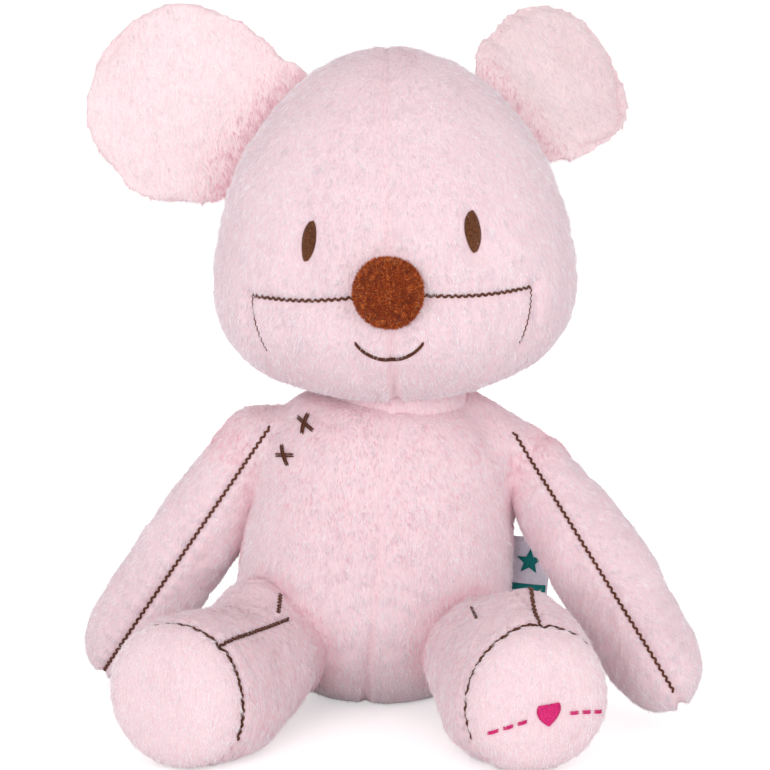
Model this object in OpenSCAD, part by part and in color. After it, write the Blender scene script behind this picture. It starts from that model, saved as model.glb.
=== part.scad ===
// A stuffed plush mouse, sitting: fabric panels, fibre stuffing, sewn limbs, ears, nose and thread.
// Millimetres, +Z up, face towards -Y. The origin is the centre of the flat seat.

/* [Fabric] */
// Thickness of the plush fabric, backing and pile together
skin_t = 2.5; // [2:0.1:3]
// Clearance between two parts that move against each other
joint_gap = 0.5; // [0.3:0.1:0.8]
// Clearance at a sewn seam between pieces that stay together
seam_gap = 0.3; // [0.2:0.05:0.4]
// Thickness of embroidery and seam thread
thread_t = 0.9; // [0.6:0.1:1.2]

/* [Head] */
// Width of the head across the cheeks
head_w = 178; // [170:1:184]
// Depth of the head from face to nape
head_d = 154; // [148:1:160]
// Height of the crown above the widest level
crown_h = 112; // [108:1:116]
// Drop of the chin below the widest level
chin_h = 60; // [56:1:63]
// Sideways tilt of the head, crown towards +X
head_roll = -2; // [-4:0.5:4]
// Turn of the head, face towards -X
head_yaw = -2.5; // [-5:0.5:5]
// Diameter of the round nose
nose_d = 33; // [28:1:37]
// Distance between the two eyes, centre to centre
eye_gap = 78; // [72:1:86]
// Height of an eye
eye_h = 21; // [17:1:24]
// Width of an eye
eye_w = 8.5; // [7:0.5:10]

/* [Ears] */
// Radius of the round ear panel
ear_r = 51; // [46:1:54]
// Thickness of a finished ear
ear_t = 8.5; // [7.5:0.5:8.5]
// How far the ear on the -X side leans back
ear_lean_left = 4; // [0:1:12]
// How far the ear on the +X side leans back
ear_lean_right = 48; // [36:1:50]
// Width over height of the ear on the +X side, which curls and so stands narrower
ear_oval_right = 0.84; // [0.8:0.02:1]

/* [Torso] */
// Width of the torso at the belly
torso_w = 139; // [132:1:144]
// Depth of the torso at the belly
torso_d = 121; // [117:1:125]
// Sideways lean of the torso, shoulders towards +X
torso_lean = 5; // [4:0.1:6]
// Radius of the packed neck
neck_r = 39; // [36:0.5:40]

/* [Limbs] */
// Radius of the arm at its thickest
arm_r = 23; // [20:0.5:23.5]
// Length of the arm from shoulder seam to tip
arm_len = 147; // [138:1:148]
// Radius of the round foot
foot_r = 34; // [31:0.5:34]
// Length of the leg from hip seam to the tip of the sole
leg_len = 122; // [115:1:124]

/* [Hidden] */
$fn = 96;

LEFT = -1;
RIGHT = 1;
BIG = 500;
STEPS = 12; // points on each curved stretch of an outline

plush = "#f3d3da";
plush_light = "#f8e0e4";
wadding = "#f6f4f0";
brown = "#5a2f1c";
rust = "#82391b";
white = "#f2f2f6";

// Torso: widest level, then how far the outline runs above and below it, and how square it is
torso_z = 52;
torso_up = 109;
torso_down = 58;
torso_up_power = 3;
torso_down_power = 1.8;
neck_c = [15, 0, 143];
neck_rim = 3; // how far the rim of the torso stands above the centre of the neck

// Head: centre of its widest level, and the powers of its outline above and below
head_c = [15, -8, 213];
head_up_power = 1.9;
head_down_power = 2.4;
muzzle_z = -2.5; // level of the seam across the face
muzzle_half = 67; // half the width of the muzzle panels
side_seam_y = 4; // plane where face panels meet back panels
nose_c = [11.5, -8 - head_d / 2 - 3, 212.8];
nose_back = -2.5; // level of the flat back of the nose, from its centre

// Shoulders and hips: centres that the limbs turn about, and the points that they reach for
shoulder_r = 22;
shoulder = [[-54, 2, 126], [82, 0, 120]];
hand = [[-125, 16, 20.5], [143, -58, 26]];
arm_seam = [85, -130]; // where the front seam runs round each arm
arm_neck_r = 19;
arm_blend = 40; // where the arm reaches its full radius
hip_r = 31.5;
hip = [[-40.5, -36.3, 34.4], [51.6, -37.4, 34.4]];
foot = [[-87, -137, 34.2], [78, -137, 34.2]];
leg_seam = [-42, -4]; // how far the top seam of each leg turns towards the other leg
leg_neck_r = 22;
leg_mid_r = 29;
leg_mid = 44;
sole_at = 104; // distance from the hip to the seam round the sole

// Ears: the ends of the sewn edge on the outline of the head, and the hinge roll along it
ear_root = [[[-25, 313], [-68, 251]], [[55, 312], [86, 271]]];
ear_roll_r = 4.3;
ear_groove = [9.5, 8]; // radius of the groove in the head that lets each ear lean
ear_reach = 43; // distance from the hinge to the centre of the round ear
ear_shift = [-14, 0]; // how far each ear is set along its edge
ear_back = [8, 14]; // how far each hinge lies behind the middle of the head

function pick(side, pair) = side == LEFT ? pair[0] : pair[1];
function power_arc(r, h, n, from, to) = [
    for (i = [0:STEPS])
        let (a = from + (to - from) * i / STEPS)
        [r * pow(abs(cos(a)), 2 / n), sign(a) * h * pow(abs(sin(a)), 2 / n)]
];

function ear_edge(side) = norm(pick(side, ear_root)[1] - pick(side, ear_root)[0]) - 6;

// Outline of a body of revolution that is widest at level 0
function egg(r, up, up_n, down, down_n) = concat(
    power_arc(r, down, down_n, -90, 0),
    [for (p = power_arc(r, up, up_n, 0, 90)) if (p[1] > 0.01) p]
);

// Outline of a limb along +Z: narrow at the joint, a smooth swell, then a rounded end
function limb(neck, mid, mid_z, full, full_z, len, n, off) = concat(
    [[0, 0], [neck + off, 0]],
    [for (i = [0:STEPS / 2]) let (t = i * 2 / STEPS, s = t * t * (3 - 2 * t))
        [neck + off + (mid - neck) * s, 14 + (mid_z - 14) * t]],
    [for (i = [1:STEPS / 2]) let (t = i * 2 / STEPS, s = t * t * (3 - 2 * t))
        [mid + off + (full - mid) * s, mid_z + (full_z - mid_z) * t]],
    [for (i = [1:STEPS]) let (a = 90 * i / STEPS)
        [(full + off) * pow(abs(cos(a)), 2 / n),
         full_z + (len + off - full_z) * pow(abs(sin(a)), 2 / n)]]
);

module half_space(axis, side, at = 0) {
    size = [BIG, BIG, BIG];
    shift = [for (i = [0:2]) i == axis ? (side < 0 ? at - BIG : at) : -BIG / 2];
    translate(shift) cube(size);
}

// Turns +Z to point from one point to another
module aim(from, to) {
    v = to - from;
    translate(from)
        rotate([0, acos(v[2] / norm(v)), atan2(v[1], v[0])])
            children();
}

// ---------- torso ----------

module torso_revolve(off) {
    translate([0, 0, torso_z])
        rotate_extrude()
            polygon(egg(torso_w / 2 + off, torso_up + off, torso_up_power,
                        torso_down + off, torso_down_power));
}

module torso_place() {
    rotate([0, torso_lean, 0])
        scale([1, torso_d / torso_w, 1])
            children();
}

// What the torso gives up so that the neck, arms and legs can turn
module torso_room() {
    translate(neck_c) sphere(r = neck_r + joint_gap);
    half_space(2, RIGHT, neck_c[2] + neck_rim);
    for (side = [LEFT, RIGHT]) {
        translate(pick(side, shoulder)) sphere(r = shoulder_r + joint_gap);
        arm_place(side) cylinder(r1 = arm_neck_r + 2, r2 = arm_r + 2, h = arm_blend);
        arm_place(side) translate([0, 0, arm_blend]) cylinder(r = arm_r + 2, h = 40);
        translate(pick(side, hip)) sphere(r = hip_r + joint_gap);
    }
}

module torso_panel(x_side, y_side) {
    difference() {
        torso_place() intersection() {
            difference() {
                torso_revolve(0);
                torso_revolve(-skin_t);
            }
            half_space(0, x_side, x_side * seam_gap / 2);
            half_space(1, y_side, y_side * seam_gap / 2);
        }
        torso_room();
        half_space(2, LEFT, skin_t + seam_gap);
    }
}

module torso_seat() {
    difference() {
        torso_place() torso_revolve(0);
        half_space(2, RIGHT, skin_t);
        half_space(2, LEFT, 0);
    }
}

module bag_form(off) {
    translate([1, 20, 22])
        scale([1, 0.53, 0.5])
            sphere(r = 30 + off);
}

module torso_stuffing() {
    difference() {
        torso_place() torso_revolve(-skin_t - seam_gap);
        torso_room();
        half_space(2, LEFT, skin_t + seam_gap);
        bag_form(1);
    }
}

// One embroidered cross lying on the chest
module cross_at(x, z, turn) {
    for (a = [0, 78])
        translate([x, 0, z])
            rotate([90, turn + a, 0])
                translate([-5, -1, 0])
                    cube([10, 2, BIG]);
}

module cross_stitches() {
    difference() {
        intersection() {
            torso_place() torso_revolve(seam_gap + thread_t);
            union() {
                cross_at(-29, 142, 30);
                cross_at(-39, 127, -8);
            }
        }
        torso_place() torso_revolve(seam_gap);
        half_space(1, RIGHT, 0);
        torso_room();
    }
}

// ---------- neck ----------

module neck_stuffing() {
    translate(neck_c) sphere(r = neck_r - skin_t - joint_gap);
}

module neck_band() {
    translate(neck_c) difference() {
        sphere(r = neck_r);
        sphere(r = neck_r - skin_t);
        half_space(2, LEFT, -22);
        half_space(2, RIGHT, 26);
    }
}

module neck_stitching() {
    up = neck_rim + 2 * thread_t;
    translate([neck_c[0], neck_c[1], neck_c[2] + up])
        rotate_extrude()
            translate([sqrt(neck_r * neck_r - up * up) + thread_t, 0])
                circle(r = thread_t * 0.8);
}

// ---------- head ----------

module head_revolve(off) {
    rotate_extrude()
        polygon(egg(head_w / 2 + off, crown_h + off, head_up_power,
                    chin_h + off, head_down_power));
}

module head_place() {
    translate(head_c)
        rotate([0, head_roll, head_yaw])
            scale([1, head_d / head_w, 1])
                children();
}

// What the head gives up for the neck and for the grooves under the ears
module head_room() {
    translate(neck_c) sphere(r = neck_r + joint_gap);
    for (side = [LEFT, RIGHT])
        ear_place(side, 0)
            rotate([0, 90, 0])
                cylinder(r = pick(side, ear_groove), h = ear_edge(side) + 16, center = true);
}

module head_shell() {
    difference() {
        head_revolve(0);
        head_revolve(-skin_t);
    }
}

module muzzle_box(grow) {
    translate([-muzzle_half - grow, -BIG, -BIG])
        cube([2 * (muzzle_half + grow), BIG - 30 + grow, BIG + muzzle_z + grow]);
}

module head_panel(x_side) {
    difference() {
        head_place() intersection() {
            children();
            half_space(0, x_side, x_side * seam_gap / 2);
        }
        head_room();
    }
}

module crown_panel(x_side) {
    head_panel(x_side) difference() {
        head_shell();
        half_space(1, RIGHT, side_seam_y);
        muzzle_box(seam_gap);
    }
}

module back_panel(x_side) {
    head_panel(x_side) intersection() {
        head_shell();
        half_space(1, RIGHT, side_seam_y + seam_gap);
    }
}

module muzzle_panel(x_side) {
    head_panel(x_side) intersection() {
        head_shell();
        muzzle_box(0);
    }
}

module head_stuffing() {
    difference() {
        head_place() head_revolve(-skin_t - seam_gap);
        head_room();
    }
}

// A layer of embroidery that follows the face, cut to shape by its children
module on_face() {
    difference() {
        intersection() {
            head_place() head_revolve(seam_gap + thread_t);
            children();
        }
        head_place() head_revolve(seam_gap);
        half_space(1, RIGHT, head_c[1]);
        head_room();
    }
}

module eye(side) {
    on_face()
        translate([head_c[0] - 2.4 + side * eye_gap / 2, 0, 239.3 + side * 1.9])
            rotate([90, side * 6, 0])
                scale([eye_w / eye_h, 1, 1])
                    cylinder(r = eye_h / 2, h = BIG);
}

module smile() {
    on_face()
        translate([head_c[0] - 3, 0, 200])
            rotate([90, 0, 0])
                linear_extrude(BIG)
                    difference() {
                        circle(r = 19);
                        circle(r = 17.4);
                        translate([-30, -11]) square([60, 60]);
                    }
}

module muzzle_stitching() {
    on_face()
        difference() {
            head_place()
                translate([-muzzle_half, -BIG, muzzle_z - 0.9])
                    cube([2 * muzzle_half, BIG, 1.8]);
            translate(nose_c) sphere(r = nose_d / 2 + 1);
        }
}

// Round outline from a flat level up to the pole
function dome(r, level) = [
    for (i = [0:STEPS])
        let (from = asin(level / r), a = from + (90 - from) * i / STEPS)
        [r * abs(cos(a)), r * sin(a)]
];

function backwards(list) = [for (i = [len(list) - 1:-1:0]) list[i]];

// The nose points along local +Z, which faces forward, and its flat back is sewn to the face
module nose_place() {
    translate(nose_c) rotate([90, 0, 0]) rotate_extrude() children();
}

module nose_cover() {
    nose_place()
        polygon(concat(dome(nose_d / 2, nose_back), backwards(dome(nose_d / 2 - skin_t, nose_back))));
}

module nose_filling() {
    nose_place()
        polygon(concat([[0, nose_back]], dome(nose_d / 2 - skin_t - seam_gap, nose_back)));
}

// ---------- ears ----------

// Local frame on the sewn edge: +X along the edge, +Z out of the head, origin on the hinge
module ear_place(side, lean) {
    root = pick(side, ear_root);
    d = root[1] - root[0];
    middle = (root[0] + root[1]) / 2;
    translate([middle[0], head_c[1] + pick(side, ear_back), middle[1]])
        rotate([0, -atan2(d[1], d[0]) + (side == LEFT ? 180 : 0), 0])
            rotate([-lean, 0, 0])
                children();
}

module ear_slab(side, off, y_from, y_to) {
    lean = side == LEFT ? ear_lean_left : ear_lean_right;
    oval = side == LEFT ? 1 : ear_oval_right;
    ear_place(side, lean)
        translate([0, y_to, 0])
            rotate([90, 0, 0])
                linear_extrude(y_to - y_from)
                    intersection() {
                        translate([pick(side, ear_shift), ear_reach])
                            scale([oval, 1]) circle(r = ear_r + off);
                        translate([-BIG / 2, ear_roll_r + seam_gap]) square(BIG);
                    }
}

module ear_front(side) {
    ear_slab(side, 0, -ear_t / 2, -ear_t / 2 + skin_t);
}

module ear_back(side) {
    ear_slab(side, 0, ear_t / 2 - skin_t, ear_t / 2);
}

module ear_wadding(side) {
    ear_slab(side, -3, -ear_t / 2 + skin_t + seam_gap, ear_t / 2 - skin_t - seam_gap);
}

module ear_seam(side) {
    ear_place(side, 0)
        rotate([0, 90, 0])
            cylinder(r = ear_roll_r, h = ear_edge(side), center = true);
}

// ---------- arms ----------

module arm_place(side) {
    aim(pick(side, shoulder), pick(side, hand)) children();
}

module arm_form(off) {
    sphere(r = shoulder_r + off);
    rotate_extrude()
        polygon(limb(arm_neck_r, arm_r, arm_blend, arm_r - 1, arm_len - 32, arm_len, 2.2, off));
}

// Panel half of a limb: the seam plane holds the limb's axis and lies at an angle round it
module limb_half(turn, side) {
    rotate([0, 0, turn]) half_space(1, side, side * seam_gap / 2);
}

module arm_panel(side, half) {
    arm_place(side) intersection() {
        difference() {
            arm_form(0);
            arm_form(-skin_t);
        }
        limb_half(pick(side, arm_seam), half);
    }
}

module arm_stuffing(side) {
    arm_place(side) arm_form(-skin_t - seam_gap);
}

// The thread strip runs down the front of the arm, over the seam between its two panels
module arm_stitching(side) {
    turn = pick(side, arm_seam);
    arm_place(side) difference() {
        arm_form(seam_gap + thread_t);
        arm_form(seam_gap);
        half_space(2, LEFT, shoulder_r + 10);
        rotate([0, 0, turn]) {
            half_space(0, LEFT, 0);
            for (s = [LEFT, RIGHT])
                half_space(1, s, s);
        }
    }
}

// ---------- legs ----------

module leg_place(side) {
    from = pick(side, hip);
    v = pick(side, foot) - from;
    translate(from)
        rotate([0, 0, atan2(v[1], v[0])])
            rotate([0, 90, 0])
                children();
}

module leg_form(off) {
    sphere(r = hip_r + off);
    rotate_extrude()
        polygon(limb(leg_neck_r, leg_mid_r, leg_mid, foot_r, sole_at - 12, leg_len, 3.2, off));
}

module leg_shell() {
    difference() {
        leg_form(0);
        leg_form(-skin_t);
    }
}

module leg_panel(side, half) {
    leg_place(side) intersection() {
        leg_shell();
        limb_half(pick(side, leg_seam), half * side);
        half_space(2, LEFT, sole_at - seam_gap);
    }
}

module leg_sole(side) {
    leg_place(side) intersection() {
        leg_shell();
        half_space(2, RIGHT, sole_at);
    }
}

module leg_stuffing(side) {
    leg_place(side) leg_form(-skin_t - seam_gap);
}

// The thread strip along the top of the leg; local -X is up
module leg_stitching(side) {
    leg_place(side) difference() {
        leg_form(seam_gap + thread_t);
        leg_form(seam_gap);
        half_space(2, LEFT, hip_r + 1);
        half_space(2, RIGHT, sole_at - 4);
        rotate([0, 0, pick(side, leg_seam)]) {
            half_space(0, RIGHT, 0);
            for (s = [LEFT, RIGHT])
                half_space(1, s, s);
        }
    }
}

// The thread round the upper part of the sole, clear of the floor
module sole_stitching(side) {
    leg_place(side) difference() {
        leg_form(seam_gap + thread_t);
        leg_form(seam_gap);
        half_space(0, RIGHT, 12);
        half_space(2, LEFT, sole_at - 1.2);
        half_space(2, RIGHT, sole_at + 0.8);
    }
}

// A small embroidered heart in the middle of the sole, with a dash at each side
module sole_motif() {
    leg_place(RIGHT) difference() {
        intersection() {
            leg_form(seam_gap + thread_t);
            translate([6, 0, sole_at])
                rotate([0, 0, 90])
                    linear_extrude(60) {
                        hull() {
                            translate([-2.4, 2]) circle(r = 2.6, $fn = 24);
                            translate([0, -4]) circle(r = 0.6, $fn = 24);
                        }
                        hull() {
                            translate([2.4, 2]) circle(r = 2.6, $fn = 24);
                            translate([0, -4]) circle(r = 0.6, $fn = 24);
                        }
                        for (s = [LEFT, RIGHT])
                            translate([s * 14 - 4, -1]) square([8, 2]);
                    }
        }
        leg_form(seam_gap);
    }
}

// ---------- label ----------

// A folded ribbon, sewn upright into the side seam at the hip
label_h = 30;
label_w = 19;
label_t = 0.9;
label_root = [torso_w / 2 + 5.9, 4, 50];

module side_label() {
    translate(label_root)
        rotate([0, torso_lean, 0])
            linear_extrude(label_h)
                union() {
                    for (s = [LEFT, RIGHT])
                        translate([0, s * label_t - label_t / 2]) square([label_w - 2, label_t]);
                    translate([label_w - 2, 0])
                        difference() {
                            circle(r = label_t * 1.5);
                            circle(r = label_t * 0.5);
                            translate([-10, -5]) square(10);
                        }
                }
}

// ---------- every node ----------

color(plush) torso_panel(LEFT, LEFT);  // torso_front_left
color(plush) torso_panel(RIGHT, LEFT);  // torso_front_right
color(plush) torso_panel(LEFT, RIGHT);  // torso_back_left
color(plush) torso_panel(RIGHT, RIGHT);  // torso_back_right
color(plush) torso_seat();
color(wadding) torso_stuffing();
color(wadding) bag_form(0);  // pellet_bag
color(brown) cross_stitches();
color(wadding) neck_stuffing();
color(plush) neck_band();
color(plush) neck_stitching();
color(plush) crown_panel(LEFT);  // head_crown_left
color(plush) crown_panel(RIGHT);  // head_crown_right
color(plush) back_panel(LEFT);  // head_back_left
color(plush) back_panel(RIGHT);  // head_back_right
color(plush) muzzle_panel(LEFT);  // muzzle_left
color(plush) muzzle_panel(RIGHT);  // muzzle_right
color(wadding) head_stuffing();
color(rust) nose_cover();
color(wadding) nose_filling();
color(brown) eye(LEFT);  // eye_left
color(brown) eye(RIGHT);  // eye_right
color(brown) smile();
color(brown) muzzle_stitching();
color(plush_light) ear_front(LEFT);  // ear_left_front
color(plush) ear_back(LEFT);  // ear_left_back
color(wadding) ear_wadding(LEFT);  // ear_left_wadding
color(plush) ear_seam(LEFT);  // ear_left_seam
color(plush_light) ear_front(RIGHT);  // ear_right_front
color(plush) ear_back(RIGHT);  // ear_right_back
color(wadding) ear_wadding(RIGHT);  // ear_right_wadding
color(plush) ear_seam(RIGHT);  // ear_right_seam
color(plush) arm_panel(LEFT, RIGHT);  // arm_left_outer
color(plush) arm_panel(LEFT, LEFT);  // arm_left_inner
color(wadding) arm_stuffing(LEFT);  // arm_left_stuffing
color(brown) arm_stitching(LEFT);  // arm_left_stitching
color(plush) arm_panel(RIGHT, LEFT);  // arm_right_outer
color(plush) arm_panel(RIGHT, RIGHT);  // arm_right_inner
color(wadding) arm_stuffing(RIGHT);  // arm_right_stuffing
color(brown) arm_stitching(RIGHT);  // arm_right_stitching
color(plush) leg_panel(LEFT, RIGHT);  // leg_left_outer
color(plush) leg_panel(LEFT, LEFT);  // leg_left_inner
color(plush_light) leg_sole(LEFT);  // leg_left_sole
color(wadding) leg_stuffing(LEFT);  // leg_left_stuffing
color(brown) leg_stitching(LEFT);  // leg_left_stitching
color(brown) sole_stitching(LEFT);  // sole_left_stitching
color(plush) leg_panel(RIGHT, RIGHT);  // leg_right_outer
color(plush) leg_panel(RIGHT, LEFT);  // leg_right_inner
color(plush_light) leg_sole(RIGHT);  // leg_right_sole
color(wadding) leg_stuffing(RIGHT);  // leg_right_stuffing
color(brown) leg_stitching(RIGHT);  // leg_right_stitching
color(brown) sole_stitching(RIGHT);  // sole_right_stitching
color("#d4145f") sole_motif();
color(white) side_label();
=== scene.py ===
import math
import bpy
import numpy as np
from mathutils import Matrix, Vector
from mathutils.bvhtree import BVHTree
from mathutils.kdtree import KDTree


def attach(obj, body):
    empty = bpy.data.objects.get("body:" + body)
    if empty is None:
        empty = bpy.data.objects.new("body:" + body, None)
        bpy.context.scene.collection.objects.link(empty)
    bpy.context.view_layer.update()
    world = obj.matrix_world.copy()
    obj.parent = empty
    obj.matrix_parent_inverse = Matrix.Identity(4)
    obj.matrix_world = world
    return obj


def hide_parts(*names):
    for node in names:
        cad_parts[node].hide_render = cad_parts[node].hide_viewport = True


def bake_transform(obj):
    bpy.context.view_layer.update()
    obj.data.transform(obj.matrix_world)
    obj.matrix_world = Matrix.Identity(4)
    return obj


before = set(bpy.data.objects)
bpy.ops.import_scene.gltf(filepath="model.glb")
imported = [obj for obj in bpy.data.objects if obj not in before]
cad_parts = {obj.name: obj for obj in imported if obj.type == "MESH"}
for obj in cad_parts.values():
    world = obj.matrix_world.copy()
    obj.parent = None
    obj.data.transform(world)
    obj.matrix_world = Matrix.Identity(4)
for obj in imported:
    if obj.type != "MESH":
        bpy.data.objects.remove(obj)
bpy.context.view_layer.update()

scene = bpy.context.scene
scene.view_settings.view_transform = "Standard"

# ---------------------------------------------------------------- numbers, in mm, as in the CAD
LEFT, RIGHT = 0, 1
SIDES = ("left", "right")
NECK = np.array([15.0, 0, 143])
HEAD = np.array([15.0, -8, 213])
NOSE = np.array([11.5, -88.0, 212.8])
SHOULDER = np.array([[-54.0, 2, 126], [82.0, 0, 120]])
HAND = np.array([[-125.0, 16, 20.5], [143.0, -58, 26]])
ARM_SEAM = np.radians([85, -130])  # angle of each limb's brown seam round its axis
LEG_SEAM = np.radians([-42, -4])
SOLE = 104.0  # distance from the hip to the seam round the sole
MUZZLE = -2.5  # height of the seam across the face, from the middle of the head
HIP = np.array([[-40.5, -36.3, 34.4], [51.6, -37.4, 34.4]])
FOOT = np.array([[-87.0, -137, 34.2], [78.0, -137, 34.2]])
EAR_ROOT = np.array([[[-25.0, 313], [-68, 251]], [[55, 312], [86, 271]]])  # x, z of each sewn edge's ends
EAR_BACK = (8.0, 14.0)  # how far each sewn edge lies behind the middle of the head
EAR_LEAN = (4.0, 48.0)  # degrees that each ear leans back
EAR_SHIFT = (-12.0, 0.0)  # how far each ear is set along its edge
EYES = [(-25.4, 235.4, 6.6, 19.4, 8), (50.8, 240.0, 7.7, 19.8, -8)]  # x, z, width, height, lean
STUBS = [((-41.5, -30, 57.5), (-42.3, -36, 49.5)), ((52.6, -30, 51.0), (55.0, -36, 46.5))]
CROSSES = ((-29, 142.5, 30), (-39, 127.5, -8))  # x, z, turn
LABEL = (73.4, 4.0, 50.0)
STAR = (8.2, 17.5)  # middle of the star on the label
VIEW_FROM = np.array([10.0, -1237.8, 331.4])  # the short threads on the thighs are aimed from here
FLOOR_GAP = 0.9  # lowest a skin may come: the pile fills the rest
THREAD = 0.62  # radius of the brown seam thread
THREAD_GAP = 1.1  # no fibre is rooted nearer to thread than this
TINT_CUTS = (0.35, 0.75)  # shares of the darkest tint, and of the two darker ones together


def rot(axis, deg):
    a = math.radians(deg)
    c, s = math.cos(a), math.sin(a)
    return np.array({
        "x": [[1, 0, 0], [0, c, -s], [0, s, c]],
        "y": [[c, 0, s], [0, 1, 0], [-s, 0, c]],
        "z": [[c, -s, 0], [s, c, 0], [0, 0, 1]],
    }[axis])


def unit(v):
    v = np.asarray(v, float)
    return v / np.maximum(np.linalg.norm(v, axis=-1, keepdims=True), 1e-9)


def arm_frame(side):
    v = HAND[side] - SHOULDER[side]
    r = rot("z", math.degrees(math.atan2(v[1], v[0]))) @ rot(
        "y", math.degrees(math.acos(v[2] / np.linalg.norm(v))))
    return SHOULDER[side], r


def leg_frame(side):
    v = FOOT[side] - HIP[side]
    return HIP[side], rot("z", math.degrees(math.atan2(v[1], v[0]))) @ rot("y", 90)


def ear_frame(side):
    a, b = EAR_ROOT[side]
    d = b - a
    mid = np.array([(a[0] + b[0]) / 2, HEAD[1] + EAR_BACK[side], (a[1] + b[1]) / 2])
    turn = -math.degrees(math.atan2(d[1], d[0])) + (180 if side == LEFT else 0)
    return mid, rot("y", turn) @ rot("x", -EAR_LEAN[side])


def head_frame():
    return HEAD, rot("z", -2.5) @ rot("y", -2)


def torso_frame():
    return np.zeros(3), rot("y", 5)


def put(points, where):
    return np.asarray(points) @ where[1].T + where[0]


def local(points, where):
    return (np.asarray(points) - where[0]) @ where[1]


def smooth(a, b, x):
    t = np.clip((np.asarray(x, float) - a) / (b - a), 0, 1)
    return t * t * (3 - 2 * t)


def noise3(p, scale, seed=0):
    """Soft value noise of points in mm, from -1 to 1, features about scale mm long."""
    q = np.asarray(p, float) / scale + seed * 17.31
    i = np.floor(q).astype(np.int64)
    f = q - i
    f = f * f * (3 - 2 * f)
    out = 0
    for dx in (0, 1):
        for dy in (0, 1):
            for dz in (0, 1):
                h = ((i[:, 0] + dx) * 374761393 + (i[:, 1] + dy) * 668265263 + (i[:, 2] + dz) * 2147483647)
                h = (h ^ (h >> 13)) * 1274126177
                h = ((h ^ (h >> 16)) & 0xFFFF) / 32767.5 - 1
                w = ((f[:, 0] if dx else 1 - f[:, 0]) * (f[:, 1] if dy else 1 - f[:, 1])
                     * (f[:, 2] if dz else 1 - f[:, 2]))
                out = out + w * h
    return out


# ---------------------------------------------------------------- meshes
def make(name, verts_mm, faces, material=None):
    mesh = bpy.data.meshes.new(name)
    v = np.asarray(verts_mm, np.float32) * 0.001
    f = np.asarray(faces, np.int32)
    n, k = f.shape
    mesh.vertices.add(len(v))
    mesh.vertices.foreach_set("co", v.ravel())
    mesh.loops.add(n * k)
    mesh.loops.foreach_set("vertex_index", f.ravel())
    mesh.polygons.add(n)
    mesh.polygons.foreach_set("loop_start", np.arange(0, n * k, k, dtype=np.int32))
    mesh.polygons.foreach_set("loop_total", np.full(n, k, np.int32))
    mesh.polygons.foreach_set("use_smooth", np.ones(n, bool))
    mesh.update()
    mesh.validate()
    ob = bpy.data.objects.new(name, mesh)
    scene.collection.objects.link(ob)
    if material:
        mesh.materials.append(material)
    return ob


def grid_faces(rows, cols):
    r = np.arange(rows - 1)[:, None]
    c = np.arange(cols)[None, :]
    a = r * cols + c
    b = r * cols + (c + 1) % cols
    return np.stack([a, b, b + cols, a + cols], -1).reshape(-1, 4)


def closed_grid(rings):
    """Points and faces of a closed skin from rings of points (rows, cols, 3), a fan closing each end."""
    rows, cols, _ = rings.shape
    faces = grid_faces(rows, cols).tolist()
    v = np.vstack([rings.reshape(-1, 3), rings[0].mean(0), rings[-1].mean(0)])
    last = (rows - 1) * cols
    for c in range(cols):
        d = (c + 1) % cols
        faces.append([rows * cols, d, c])
        faces.append([rows * cols + 1, last + c, last + d])
    return v, faces


def closed_mesh(name, bundles):
    """One object of closed skins, one for each bundle of rings."""
    vs, fs, base = [], [], 0
    for rings in bundles:
        v, faces = closed_grid(rings)
        vs.append(v)
        fs += [[base + i for i in f] for f in faces]
        base += len(v)
    mesh = bpy.data.meshes.new(name)
    mesh.from_pydata((np.vstack(vs) * 0.001).tolist(), [], fs)
    ob = bpy.data.objects.new(name, mesh)
    scene.collection.objects.link(ob)
    return ob


def skin(name, rings, voxel, material, lobes=()):
    """A padded skin: the closed rings, joined with any lobes, are remeshed evenly."""
    ob = closed_mesh(name, (rings, *lobes))
    m = ob.modifiers.new("r", "REMESH")
    m.mode, m.voxel_size, m.use_smooth_shade = "VOXEL", voxel * 0.001, True
    bake_modifiers(ob)
    ob.data.materials.append(material)
    return ob


def bake_modifiers(ob):
    bpy.context.view_layer.update()
    e = ob.evaluated_get(bpy.context.evaluated_depsgraph_get())
    mesh = bpy.data.meshes.new_from_object(e)
    ob.modifiers.clear()
    old = ob.data
    ob.data = mesh
    mesh.name = ob.name
    bpy.data.meshes.remove(old)


def of_each_point(ob, what):
    v = np.empty(len(ob.data.vertices) * 3, np.float32)
    ob.data.vertices.foreach_get(what, v)
    return v.reshape(-1, 3).astype(float)


def coords(ob):
    return of_each_point(ob, "co") * 1000


def normals(ob):
    return of_each_point(ob, "normal")


def set_coords(ob, v):
    ob.data.vertices.foreach_set("co", (np.asarray(v) * 0.001).astype(np.float32).ravel())
    ob.data.update()


def set_above_floor(ob, v):
    v[:, 2] = np.maximum(v[:, 2], FLOOR_GAP)
    set_coords(ob, v)


def subdivide(ob):
    m = ob.modifiers.new("s", "SUBSURF")
    m.levels = m.render_levels = 1
    bake_modifiers(ob)
    ob.data.polygons.foreach_set("use_smooth", np.ones(len(ob.data.polygons), bool))


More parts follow.
